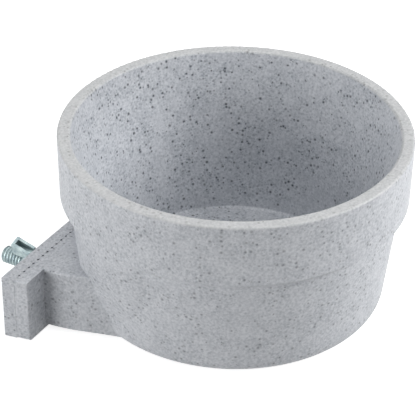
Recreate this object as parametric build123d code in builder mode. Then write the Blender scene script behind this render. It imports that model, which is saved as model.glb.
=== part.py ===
from build123d import *
import math
import os

# Seed cup with a clamp bracket. Millimetres, +Z up, origin at the centre of the underside of the bowl.
# The clamp closes along Y, and its jaws run along X at the -X, +Y side of the bowl.

# Bowl
rim_diameter = 128.0
bowl_height = 67.3
rim_wall = 4.75
rim_round = 0.9
band_height = 23.4
band_draft = 0.3
step_width = 3.2
step_rise = 3.1
base_diameter = 112.0
base_round = 6.0
floor_diameter = 95.0
floor_thickness = 3.2
floor_round = 1.2

# Clamp jaws: reach past the side of the bowl, and inset of their seam from its back
jaw_reach = 12.68
jaw_skew = 2.0
jaw_bottom_z = 0.3
jaw_height = 25.4
jaw_thickness = 5.1
jaw_tip_thickness = 1.64
jaw_round = 0.7
seam_inset = 9.57
jaw_gap = 0.08
groove_pitch = 2.93
groove_depth = 0.55
groove_near_margin = 4.4
groove_far_margin = 1.0
bowl_clearance = 0.6

# Web between the front jaw and the bowl
jaw_overhang = 11.55
web_bottom_z = 1.8
web_depth = 20.3
web_bulge = 0.8
web_turn_inset = 3.6
web_sweep = 14.5
web_foot_sink = 2.2
web_round = 0.8

# Swell of the wall beside the web, flush with the band above, and the flat that ends it over the web
swell_angle = 155.0
swell_radius = 40.0
swell_bulge = 2.3
flat_angle = 130.0

# Bolt and nut
bolt_inset = 21.58
bolt_drop = 7.3
bolt_length = 25.4
thread_diameter = 6.35
thread_pitch = 25.4 / 20
thread_depth = 0.4
thread_crest_share = 0.3
bolt_tip_round = 0.7
head_across_flats = 9.53
head_height = 4.8
head_sink = 1.3
slot_clearance = 0.25
hole_clearance = 0.35
nut_clearance = 0.05
nut_gap = 0.3
hub_base_diameter = 11.0
hub_top_diameter = 9.2
hub_height = 3.2
wing_spread = 19.8
wing_height = 7.35
wing_tip_width = 5.2
wing_foot_spread = 14.2
wing_thickness = 4.6
wing_wall = 1.2
wing_fold_depth = 3.7
wing_corner_round = 0.4
wing_edge_round = 0.2
wing_tilt = 104.5

# Bowl radii and heights
rim_r = rim_diameter / 2
mouth_r = rim_r - rim_wall
band_low_z = bowl_height - band_height
band_low_r = rim_r - band_draft
wall_top_z = band_low_z - step_rise
wall_top_r = band_low_r - step_width
base_r = base_diameter / 2
floor_r = floor_diameter / 2


def outer_radius(z):
    """Radius of the outside of the wall below the band at a height."""
    return base_r + (wall_top_r - base_r) * z / wall_top_z


def middle_radius(z):
    """Radius of the middle of the wall at a height."""
    inner_r = floor_r + (mouth_r - floor_r) * (z - floor_thickness) / (bowl_height - floor_thickness)
    return (outer_radius(z) + inner_r) / 2


# Clamp faces and heights
jaw_top_z = jaw_bottom_z + jaw_height
wall_r = outer_radius(jaw_top_z)
jaw_near_x = -(wall_r + jaw_reach)
seam_y = wall_r - seam_inset
front_face_y = seam_y - jaw_gap / 2
rear_face_y = seam_y + jaw_gap / 2
front_outer_y = front_face_y - jaw_thickness
rear_outer_y = rear_face_y + jaw_thickness


def end_x(y):
    """Place of the jaws' slightly skewed near end at a distance along Y."""
    return jaw_near_x + jaw_skew * (rear_outer_y - y) / (rear_outer_y - front_outer_y)


wall_mid_r = middle_radius(web_bottom_z)
front_far_x = -math.sqrt(outer_radius(jaw_bottom_z) ** 2 - front_outer_y ** 2) + base_round / 2
scoop_r = wall_r + bowl_clearance
jaw_far_x = -math.sqrt(scoop_r ** 2 - (rear_outer_y - jaw_tip_thickness) ** 2)
grip_far_x = -math.sqrt(scoop_r ** 2 - rear_face_y ** 2)
groove_span = grip_far_x - jaw_near_x - groove_near_margin - groove_far_margin
groove_count = int(groove_span / groove_pitch) + 1
groove_mid_x = jaw_near_x + groove_near_margin + groove_pitch * (groove_count - 1) / 2

# Web outline: start at the seam, turn towards the bowl, and foot inside its wall
web_start = (jaw_near_x + jaw_overhang, front_face_y)
web_turn = (web_start[0] + web_turn_inset, front_face_y - web_depth)
web_middle = ((web_start[0] + web_turn[0]) / 2 - web_bulge, (web_start[1] + web_turn[1]) / 2)
foot_r = outer_radius(web_bottom_z) - web_foot_sink
foot_y = web_turn[1] - web_sweep
web_foot = (-math.sqrt(foot_r ** 2 - foot_y ** 2), foot_y)
web_back = (front_far_x, front_face_y)
inside_turn = math.atan2(web_foot[1] + web_back[1], web_foot[0] + web_back[0])
web_inside = (wall_mid_r * math.cos(inside_turn), wall_mid_r * math.sin(inside_turn))

# Swell: its own upright axis, and its profile from the web's foot up to the band
swell_reach = band_low_r - swell_radius
swell_turn = math.radians(swell_angle)
swell_x = swell_reach * math.cos(swell_turn)
swell_y = swell_reach * math.sin(swell_turn)
swell_plane = Plane(origin=(swell_x, swell_y, 0), x_dir=(1, 0, 0), z_dir=(0, -1, 0))
swell_axis = Axis((swell_x, swell_y, 0), (0, 0, 1))
swell_low = (foot_r - swell_reach, web_bottom_z)
swell_top = (swell_radius, band_low_z)
swell_middle = ((swell_low[0] + swell_top[0]) / 2 + swell_bulge, (swell_low[1] + swell_top[1]) / 2)
flat_turn = math.radians(flat_angle)
flat_plane = Plane(
    origin=(0, 0, jaw_top_z),
    x_dir=(math.cos(flat_turn), math.sin(flat_turn), 0),
    z_dir=(0, 0, 1),
)

# Bolt line: the head bears on the front jaw, inside the web
bolt_x = jaw_near_x + bolt_inset
bolt_z = jaw_top_z - bolt_drop
head_seat_y = front_outer_y - head_sink
head_r = head_across_flats / math.sqrt(3)
thread_r = thread_diameter / 2
root_r = thread_r - thread_depth
nut_base_y = rear_outer_y + nut_gap
bolt_axis = Axis((bolt_x, 0, bolt_z), (0, 1, 0))
bolt_plane = Plane(origin=(bolt_x, head_seat_y, bolt_z), x_dir=(0, 1, 0), z_dir=(1, 0, 0))

os.makedirs("parts", exist_ok=True)

# Bowl, web and front jaw, one moulding
with BuildPart() as cup_body:
    # Web: a bulging near wall that turns softly into the side of the bowl
    with BuildSketch(Plane.XY.offset(web_bottom_z)):
        with BuildLine():
            near_wall = ThreePointArc(web_start, web_middle, web_turn)
            TangentArc(web_turn, web_foot, tangent=near_wall % 1)
            Polyline(web_foot, web_inside, web_back, web_start)
        make_face()
    extrude(amount=jaw_top_z - web_bottom_z)
    fillet(cup_body.edges().group_by(Axis.Z)[-1].filter_by(GeomType.CIRCLE), web_round)

    # Swell of the wall, cut flat where the level top of the web meets it
    with BuildSketch(swell_plane):
        with BuildLine():
            ThreePointArc(swell_low, swell_middle, swell_top)
            Polyline(swell_top, (0, band_low_z), (0, web_bottom_z), swell_low)
        make_face()
    revolve(axis=swell_axis)
    with BuildSketch(Plane.XZ):
        with BuildLine():
            Polyline(
                (0, web_bottom_z),
                (wall_mid_r, web_bottom_z),
                (middle_radius(band_low_z), band_low_z),
                (0, band_low_z),
                close=True,
            )
        make_face()
    revolve(axis=Axis.Z, mode=Mode.SUBTRACT)
    with BuildSketch(flat_plane):
        with Locations((wall_r, 0)):
            Rectangle(rim_diameter, rim_diameter, align=(Align.MIN, Align.CENTER))
    extrude(amount=band_low_z - jaw_top_z, mode=Mode.SUBTRACT)

    # Bowl
    with BuildSketch(Plane.XZ) as bowl_profile:
        with BuildLine():
            Polyline(
                (0, 0),
                (base_r, 0),
                (wall_top_r, wall_top_z),
                (band_low_r, band_low_z),
                (rim_r, bowl_height),
                (mouth_r, bowl_height),
                (floor_r, floor_thickness),
                (0, floor_thickness),
                close=True,
            )
        make_face()
        fillet(bowl_profile.vertices().sort_by_distance((base_r, 0))[0], base_round)
        fillet(bowl_profile.vertices().sort_by_distance((floor_r, floor_thickness))[0], floor_round)
        fillet(bowl_profile.vertices().sort_by_distance((rim_r, bowl_height))[0], rim_round)
        fillet(bowl_profile.vertices().sort_by_distance((mouth_r, bowl_height))[0], rim_round)
    revolve(axis=Axis.Z)

    # Front jaw
    with BuildSketch(Plane.XY.offset(jaw_bottom_z)):
        with BuildLine():
            Polyline(
                (end_x(front_outer_y), front_outer_y),
                (end_x(front_face_y), front_face_y),
                (front_far_x, front_face_y),
                (front_far_x, front_outer_y),
                close=True,
            )
        make_face()
    extrude(amount=jaw_height)
    fillet(cup_body.faces().sort_by(Axis.X)[0].edges().sort_by(Axis.Y)[:-1], jaw_round)

    # Gripping grooves of the front jaw
    with BuildSketch(Plane.XY.offset(jaw_bottom_z)):
        with Locations((groove_mid_x, front_face_y)):
            with GridLocations(groove_pitch, 1, groove_count, 1):
                RegularPolygon(radius=groove_depth, side_count=4)
    extrude(amount=jaw_height, mode=Mode.SUBTRACT)

    # Slot from below for the shank, and a wider one behind it for the head
    with BuildSketch(Plane.XZ.offset(-head_seat_y)):
        with Locations((bolt_x, bolt_z)):
            Circle(thread_r + slot_clearance)
            Rectangle(thread_diameter + 2 * slot_clearance, bolt_z, align=(Align.CENTER, Align.MAX))
    extrude(amount=head_seat_y - front_face_y, mode=Mode.SUBTRACT)
    with BuildSketch(Plane.XZ.offset(-head_seat_y)):
        with Locations((bolt_x, bolt_z + head_r + slot_clearance)):
            Rectangle(
                head_across_flats + 2 * slot_clearance,
                bolt_z + head_r + slot_clearance,
                align=(Align.CENTER, Align.MAX),
            )
    extrude(amount=head_height + slot_clearance, mode=Mode.SUBTRACT)

cup_body.part.label = "cup_body"
export_step(cup_body.part, "parts/cup_body.step")

# Loose rear jaw, scooped where it passes the bowl
with BuildPart() as rear_jaw:
    with BuildSketch(Plane.XY.offset(jaw_bottom_z)):
        with BuildLine():
            Polyline(
                (end_x(rear_face_y), rear_face_y),
                (jaw_near_x, rear_outer_y),
                (jaw_far_x, rear_outer_y),
                (jaw_far_x, rear_face_y),
                close=True,
            )
        make_face()
        Circle(scoop_r, mode=Mode.SUBTRACT)
        with Locations((groove_mid_x, rear_face_y)):
            with GridLocations(groove_pitch, 1, groove_count, 1):
                RegularPolygon(radius=groove_depth, side_count=4, mode=Mode.SUBTRACT)
    extrude(amount=jaw_height)
    fillet(rear_jaw.faces().sort_by(Axis.Y)[-1].edges(), jaw_round)
    with BuildSketch(Plane.XZ.offset(-rear_face_y)):
        with Locations((bolt_x, bolt_z)):
            Circle(thread_r + hole_clearance)
    extrude(amount=-jaw_thickness, mode=Mode.SUBTRACT)

rear_jaw.part.label = "rear_jaw"
export_step(rear_jaw.part, "parts/rear_jaw.step")

# Hex-head bolt, its head held in the slot
thread_turns = int((bolt_length - bolt_tip_round) / thread_pitch)
thread_points = []
for turn in range(thread_turns):
    turn_x = bolt_length - bolt_tip_round - (thread_turns - turn) * thread_pitch
    thread_points.append((turn_x, thread_r))
    thread_points.append((turn_x + thread_pitch * thread_crest_share, thread_r))
    thread_points.append((turn_x + thread_pitch * (1 + thread_crest_share) / 2, root_r))

with BuildPart() as clamp_bolt:
    with BuildSketch(bolt_plane):
        with BuildLine():
            Polyline(
                (0, 0),
                (0, thread_r),
                *thread_points,
                (bolt_length - bolt_tip_round, thread_r),
                (bolt_length, thread_r - bolt_tip_round),
                (bolt_length, 0),
                close=True,
            )
        make_face()
    revolve(axis=bolt_axis)
    with BuildSketch(Plane.XZ.offset(-head_seat_y)):
        with Locations((bolt_x, bolt_z)):
            RegularPolygon(radius=head_r, side_count=6, rotation=30)
    extrude(amount=head_height)

clamp_bolt.part.label = "clamp_bolt"
export_step(clamp_bolt.part, "parts/clamp_bolt.step")

# Wing nut: a low hub with two folded wings, each open along its outer edge
tilt = math.radians(wing_tilt)
wing_plane = Plane(
    origin=(bolt_x, nut_base_y, bolt_z),
    x_dir=(math.cos(tilt), 0, math.sin(tilt)),
    z_dir=(-math.sin(tilt), 0, math.cos(tilt)),
)
tip_r = wing_spread / 2
fold_r = tip_r - wing_fold_depth
fold_height = wing_height - wing_wall
wing_outline = [
    (0, 0),
    (wing_foot_spread / 2, 0),
    (tip_r, wing_height),
    (tip_r - wing_tip_width, wing_height),
    (hub_top_diameter / 2 - wing_edge_round, hub_height),
    (0, hub_height),
]

with BuildPart() as wing_nut:
    with BuildSketch(wing_plane) as wings:
        with BuildLine():
            Polyline(*wing_outline, close=True)
        make_face()
        fillet(wings.vertices().group_by(Axis.Y)[-1], wing_corner_round)
        mirror(about=Plane.YZ)
    extrude(amount=wing_thickness / 2, both=True)
    tip_lines = wing_nut.edges().filter_by(Axis(wing_plane.origin, wing_plane.x_dir))
    fillet(tip_lines.group_by(Axis.Y)[-1], wing_edge_round)
    with BuildSketch(wing_plane):
        with BuildLine():
            Polyline(
                (0, 0),
                (hub_base_diameter / 2, 0),
                (hub_top_diameter / 2, hub_height),
                (0, hub_height),
                close=True,
            )
        make_face()
    revolve(axis=bolt_axis)
    # Gap between the two walls of each wing, open at its foot and along its outer edge
    with BuildSketch(wing_plane):
        with Locations((fold_r, 0)):
            Rectangle(wing_spread, fold_height, align=(Align.MIN, Align.MIN))
        mirror(about=Plane.YZ)
    extrude(amount=wing_thickness / 2 - wing_wall, both=True, mode=Mode.SUBTRACT)
    with BuildSketch(Plane.XZ.offset(-nut_base_y)):
        with Locations((bolt_x, bolt_z)):
            Circle(thread_r + nut_clearance)
    extrude(amount=-wing_height, mode=Mode.SUBTRACT)

wing_nut.part.label = "wing_nut"
export_step(wing_nut.part, "parts/wing_nut.step")
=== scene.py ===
import math

import bpy
from mathutils import Matrix, Vector

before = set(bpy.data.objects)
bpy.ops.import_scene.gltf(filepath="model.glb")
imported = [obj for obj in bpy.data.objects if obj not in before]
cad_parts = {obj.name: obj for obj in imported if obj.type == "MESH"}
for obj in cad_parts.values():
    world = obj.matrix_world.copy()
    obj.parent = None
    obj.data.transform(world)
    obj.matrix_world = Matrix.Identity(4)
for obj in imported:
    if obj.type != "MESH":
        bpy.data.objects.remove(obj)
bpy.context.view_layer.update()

MM = 0.001
WHITE = (1.0, 1.0, 1.0, 1.0)

# Camera, in millimetres and degrees, fitted to the photograph's rim, band and base outlines
IMAGE_PIXELS = 416
FOCAL_PIXELS = 1750.0
SENSOR_MM = 36.0
CAMERA_AZIMUTH = -60.0
CAMERA_ELEVATION = 33.103
CAMERA_ROLL = 0.712
CAMERA_DISTANCE = 643.874
CAMERA_TARGET = (-5.016, 8.208, 33.621)
CAMERA_CLIP_START = 10.0

# Lamps: name, azimuth and elevation in degrees, and watts
LAMPS = (
    ("back_lamp", 150.0, 45.0, 1.5),
    ("left_lamp", -120.0, 10.0, 4.6),
    ("left_high_lamp", -135.0, 65.0, 0.85),
    ("right_front_lamp", 5.0, 30.0, 2.5),
    ("right_lamp", 30.0, 30.0, 5.0),
    ("top_lamp", -60.0, 88.0, 2.1),
)
# All lamps: distance from a point on the bowl's axis, that point's height, and their width, in metres
LAMP_DISTANCE = 0.9
LAMP_AIM_HEIGHT = 0.035
LAMP_SIZE = 0.5
WORLD_LIGHT = 0.008

# Floor: half its width, and its drop below the underside so that the two don't share a plane, in metres
FLOOR_HALF = 2.0
FLOOR_DROP = 0.0001
FLOOR_COLOUR = (0.5, 0.5, 0.5, 1.0)
FLOOR_ROUGHNESS = 0.9
FLOOR_GLOW = 0.85

# Speckled plastic: pale ground with duller clouds and grain, sizes in millimetres
PLASTIC_PALE = (0.66, 0.675, 0.705, 1.0)
PLASTIC_DULL = (0.46, 0.48, 0.515, 1.0)
CLOUD_MM = 7.0
CLOUD_DETAIL = 4.0
CLOUD_WEIGHT = 0.4
GRAIN_MM = 0.95
GRAIN_DETAIL = 2.0
MOTTLE_SPREAD = (0.5, 0.9)
PLASTIC_ROUGHNESS = (0.42, 0.54)
PLASTIC_BUMP_MM = 0.03
PLASTIC_BUMP = 0.25

# Specks: cell and radius in millimetres, share of cells that have one, strength and colour
SPECK_FAINT = (0.24, 0.27, 0.31, 1.0)
SPECK_DARK = (0.04, 0.05, 0.065, 1.0)
SPECKS = (
    (0.95, 0.48, 0.6, 0.6, SPECK_FAINT),
    (1.3, 0.62, 0.5, 0.7, SPECK_FAINT),
    (1.7, 0.64, 0.45, 1.0, SPECK_DARK),
)
# Their smallest and largest size against that radius, and the part of it that is full in colour
SPECK_SIZES = (0.55, 1.3)
SPECK_CORE = 0.2
# They crowd in clumps: size in millimetres, and the share of cells out of the clumps and in them
CLUMP_MM = 9.0
CLUMP_DETAIL = 3.0
CLUMP_SHARES = (0.2, 1.8)
# They show more inside the bowl: weaker specks outside are painted light, standing in for the brighter light
# there. The middle of its wall, in millimetres:
# radius at the foot, and rise with height
WALL_MIDDLE_FOOT = 51.4
WALL_MIDDLE_RISE = 0.15
PAINTED_LIGHT_SPECKS_OUTSIDE_INSIDE = (0.62, 1.0)
# They show less on the rim's top face, between these heights in millimetres, which also blends towards a
# smooth warmer tone: both are a painted highlight.
RIM_FACE = (66.3, 67.0)
SPECKS_UNDER_RIM_HIGHLIGHT = 0.75
RIM_HIGHLIGHT_TONE = (0.54, 0.53, 0.49, 1.0)
RIM_HIGHLIGHT_SHARE = 0.35

# Zinc plate, sizes in millimetres
ZINC_PALE = (0.46, 0.54, 0.54, 1.0)
ZINC_BLUE = (0.27, 0.34, 0.36, 1.0)
ZINC_CLOUD_MM = 2.2
ZINC_CLOUD_DETAIL = 4.0
ZINC_GRAIN_MM = 0.35
ZINC_GRAIN_DETAIL = 2.0
ZINC_ROUGHNESS = (0.5, 0.66)
ZINC_BUMP_MM = 0.02
ZINC_BUMP = 0.3

# Values between which most of a cloud pattern lies, and a narrower pair for more contrast
NOISE_SPREAD = (0.3, 0.7)
NOISE_MIDDLE = (0.35, 0.65)


def direction(azimuth, elevation):
    """Unit vector towards an azimuth and elevation in degrees, with azimuth 0 at -Y."""
    turn = math.radians(azimuth)
    rise = math.radians(elevation)
    return Vector((math.sin(turn) * math.cos(rise), -math.cos(turn) * math.cos(rise), math.sin(rise)))


def add_camera():
    azimuth = math.radians(CAMERA_AZIMUTH)
    back = direction(CAMERA_AZIMUTH, CAMERA_ELEVATION)
    right = Vector((math.cos(azimuth), math.sin(azimuth), 0.0))
    up = back.cross(right)
    turn = Matrix((right, up, back)).transposed() @ Matrix.Rotation(math.radians(CAMERA_ROLL), 3, "Z")
    data = bpy.data.cameras.new("camera")
    data.sensor_width = SENSOR_MM
    data.lens = SENSOR_MM * FOCAL_PIXELS / IMAGE_PIXELS
    data.clip_start = CAMERA_CLIP_START * MM
    camera = bpy.data.objects.new("camera", data)
    place = (Vector(CAMERA_TARGET) + back * CAMERA_DISTANCE) * MM
    camera.matrix_world = Matrix.Translation(place) @ turn.to_4x4()
    bpy.context.scene.collection.objects.link(camera)
    bpy.context.scene.camera = camera


def add_lamp(name, azimuth, elevation, watts):
    """Soft lamp that faces the bowl from an azimuth and elevation round it."""
    back = direction(azimuth, elevation)
    data = bpy.data.lights.new(name, "AREA")
    data.shape = "DISK"
    data.size = LAMP_SIZE
    data.energy = watts
    lamp = bpy.data.objects.new(name, data)
    lamp.location = back * LAMP_DISTANCE + Vector((0.0, 0.0, LAMP_AIM_HEIGHT))
    lamp.rotation_euler = back.to_track_quat("Z", "Y").to_euler()
    bpy.context.scene.collection.objects.link(lamp)


def combine(tree, operation, first, second):
    """Sum, product or other step of two values, each a number or a socket."""
    step = tree.nodes.new("ShaderNodeMath")
    step.operation = operation
    for socket, value in zip(step.inputs, (first, second)):
        if isinstance(value, float):
            socket.default_value = value
        else:
            tree.links.new(value, socket)
    return step.outputs[0]


def remap(tree, value, spread, result):
    """Value moved from one low and high pair to another, and held between them."""
    mapped = tree.nodes.new("ShaderNodeMapRange")
    mapped.inputs["From Min"].default_value, mapped.inputs["From Max"].default_value = spread
    mapped.inputs["To Min"].default_value, mapped.inputs["To Max"].default_value = result
    tree.links.new(value, mapped.inputs["Value"])
    return mapped.outputs["Result"]


def mix(tree, factor, first, second):
    """Blend of two colours, each a colour or a socket."""
    blend = tree.nodes.new("ShaderNodeMix")
    blend.data_type = "RGBA"
    tree.links.new(factor, blend.inputs["Factor"])
    for socket, value in zip((blend.inputs["A"], blend.inputs["B"]), (first, second)):
        if isinstance(value, tuple):
            socket.default_value = value
        else:
            tree.links.new(value, socket)
    return blend.outputs["Result"]


def seen_directly(tree):
    """1 for what is seen straight, mirrored or through glass, and 0 for the light that it casts."""
    path = tree.nodes.new("ShaderNodeLightPath").outputs
    mirrored = combine(tree, "MAXIMUM", path["Is Glossy Ray"], path["Is Transmission Ray"])
    return combine(tree, "MAXIMUM", path["Is Camera Ray"], mirrored)


def light_scene():
    world = bpy.data.worlds.new("studio")
    bpy.context.scene.world = world
    world.use_nodes = True
    tree = world.node_tree
    tree.nodes.clear()
    background = tree.nodes.new("ShaderNodeBackground")
    strength = remap(tree, seen_directly(tree), (0.0, 1.0), (WORLD_LIGHT, 1.0))
    tree.links.new(strength, background.inputs["Strength"])
    output = tree.nodes.new("ShaderNodeOutputWorld")
    tree.links.new(background.outputs["Background"], output.inputs["Surface"])
    for lamp in LAMPS:
        add_lamp(*lamp)


def new_material(name):
    material = bpy.data.materials.new(name)
    material.use_nodes = True
    tree = material.node_tree
    return material, tree, tree.nodes["Principled BSDF"]


def place_mm(tree):
    """Position on the piece in millimetres."""
    coords = tree.nodes.new("ShaderNodeTexCoord")
    scale = tree.nodes.new("ShaderNodeVectorMath")
    scale.operation = "SCALE"
    scale.inputs["Scale"].default_value = 1.0 / MM
    tree.links.new(coords.outputs["Object"], scale.inputs[0])
    return scale.outputs["Vector"]


def noise(tree, place, size_mm, detail):
    """Cloud pattern with features of about a size."""
    texture = tree.nodes.new("ShaderNodeTexNoise")
    texture.inputs["Scale"].default_value = 1.0 / size_mm
    texture.inputs["Detail"].default_value = detail
    tree.links.new(place, texture.inputs["Vector"])
    return texture.outputs["Fac"]


def bump(tree, shader, height, depth_mm, strength):
    relief = tree.nodes.new("ShaderNodeBump")
    relief.inputs["Strength"].default_value = strength
    relief.inputs["Distance"].default_value = depth_mm * MM
    tree.links.new(height, relief.inputs["Height"])
    tree.links.new(relief.outputs["Normal"], shader.inputs["Normal"])


def specks(tree, place, clumps, cell_mm, radius_mm, share):
    """Soft round specks of mixed sizes, in a share of the cells of a random net that rises in the clumps."""
    net = tree.nodes.new("ShaderNodeTexVoronoi")
    net.inputs["Scale"].default_value = 1.0 / cell_mm
    tree.links.new(place, net.inputs["Vector"])
    pick = tree.nodes.new("ShaderNodeSeparateColor")
    tree.links.new(net.outputs["Color"], pick.inputs["Color"])
    size = remap(tree, pick.outputs["Green"], (0.0, 1.0), SPECK_SIZES)
    reach = combine(tree, "DIVIDE", net.outputs["Distance"], size)
    edge = radius_mm / cell_mm
    spot = remap(tree, reach, (edge * SPECK_CORE, edge), (1.0, 0.0))
    sparse, dense = CLUMP_SHARES
    crowd = remap(tree, clumps, NOISE_MIDDLE, (share * sparse, share * dense))
    there = combine(tree, "LESS_THAN", pick.outputs["Red"], crowd)
    return combine(tree, "MULTIPLY", spot, there)


def height_of(tree, place):
    axes = tree.nodes.new("ShaderNodeSeparateXYZ")
    tree.links.new(place, axes.inputs["Vector"])
    return axes.outputs["Z"]


def speck_strength_with_painted_light(tree, place, height):
    """Strength of the specks, with painted light: one value inside the bowl, a weaker one outside, and less
    on the rim's top face as painted highlight.
    """
    level = tree.nodes.new("ShaderNodeVectorMath")
    level.operation = "MULTIPLY"
    level.inputs[1].default_value = (1.0, 1.0, 0.0)
    tree.links.new(place, level.inputs[0])
    radius = tree.nodes.new("ShaderNodeVectorMath")
    radius.operation = "LENGTH"
    tree.links.new(level.outputs["Vector"], radius.inputs[0])
    rise = combine(tree, "MULTIPLY", height, WALL_MIDDLE_RISE)
    middle = combine(tree, "ADD", rise, WALL_MIDDLE_FOOT)
    # Painted light: the specks are weaker outside the bowl, where the light is brighter.
    inside = combine(tree, "LESS_THAN", radius.outputs["Value"], middle)
    walls = remap(tree, inside, (0.0, 1.0), PAINTED_LIGHT_SPECKS_OUTSIDE_INSIDE)
    # Painted highlight: fewer specks on the rim's top face.
    rim = remap(tree, height, RIM_FACE, (1.0, SPECKS_UNDER_RIM_HIGHLIGHT))
    return combine(tree, "MULTIPLY", walls, rim)


def speckled_plastic():
    material, tree, shader = new_material("speckled_plastic")
    place = place_mm(tree)
    height = height_of(tree, place)
    clouds = noise(tree, place, CLOUD_MM, CLOUD_DETAIL)
    grain = noise(tree, place, GRAIN_MM, GRAIN_DETAIL)
    mottle = combine(tree, "ADD", combine(tree, "MULTIPLY", clouds, CLOUD_WEIGHT), grain)
    colour = mix(tree, remap(tree, mottle, MOTTLE_SPREAD, (0.0, 1.0)), PLASTIC_DULL, PLASTIC_PALE)
    clumps = noise(tree, place, CLUMP_MM, CLUMP_DETAIL)
    show = speck_strength_with_painted_light(tree, place, height)
    for cell_mm, radius_mm, share, strength, tone in SPECKS:
        spots = specks(tree, place, clumps, cell_mm, radius_mm, share)
        spots = combine(tree, "MULTIPLY", combine(tree, "MULTIPLY", spots, strength), show)
        colour = mix(tree, spots, colour, tone)
    # Painted highlight: the rim's top face blends towards a smooth warmer tone.
    rim = remap(tree, height, RIM_FACE, (0.0, RIM_HIGHLIGHT_SHARE))
    tree.links.new(mix(tree, rim, colour, RIM_HIGHLIGHT_TONE), shader.inputs["Base Color"])
    tree.links.new(remap(tree, clouds, NOISE_SPREAD, PLASTIC_ROUGHNESS), shader.inputs["Roughness"])
    bump(tree, shader, grain, PLASTIC_BUMP_MM, PLASTIC_BUMP)
    return material


def zinc_plate():
    material, tree, shader = new_material("zinc_plate")
    place = place_mm(tree)
    clouds = noise(tree, place, ZINC_CLOUD_MM, ZINC_CLOUD_DETAIL)
    grain = noise(tree, place, ZINC_GRAIN_MM, ZINC_GRAIN_DETAIL)
    colour = mix(tree, remap(tree, clouds, NOISE_MIDDLE, (0.0, 1.0)), ZINC_BLUE, ZINC_PALE)
    tree.links.new(colour, shader.inputs["Base Color"])
    shader.inputs["Metallic"].default_value = 1.0
    tree.links.new(remap(tree, grain, NOISE_SPREAD, ZINC_ROUGHNESS), shader.inputs["Roughness"])
    bump(tree, shader, grain, ZINC_BUMP_MM, ZINC_BUMP)
    return material


def add_floor():
    half = FLOOR_HALF
    low = -FLOOR_DROP
    corners = [(-half, -half, low), (half, -half, low), (half, half, low), (-half, half, low)]
    mesh = bpy.data.meshes.new("floor")
    mesh.from_pydata(corners, [], [(0, 1, 2, 3)])
    floor = bpy.data.objects.new("floor", mesh)
    bpy.context.scene.collection.objects.link(floor)
    material, tree, shader = new_material("pale_floor")
    shader.inputs["Base Color"].default_value = FLOOR_COLOUR
    shader.inputs["Roughness"].default_value = FLOOR_ROUGHNESS
    shader.inputs["Emission Color"].default_value = WHITE
    glow = combine(tree, "MULTIPLY", seen_directly(tree), FLOOR_GLOW)
    tree.links.new(glow, shader.inputs["Emission Strength"])
    mesh.materials.append(material)


def dress(node, material):
    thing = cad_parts[node]
    thing.data.materials.clear()
    thing.data.materials.append(material)


add_camera()
light_scene()
add_floor()
plastic = speckled_plastic()
zinc = zinc_plate()
for node in ("cup_body", "rear_jaw"):
    dress(node, plastic)
for node in ("clamp_bolt", "wing_nut"):
    dress(node, zinc)

bpy.context.scene.view_settings.view_transform = "Standard"
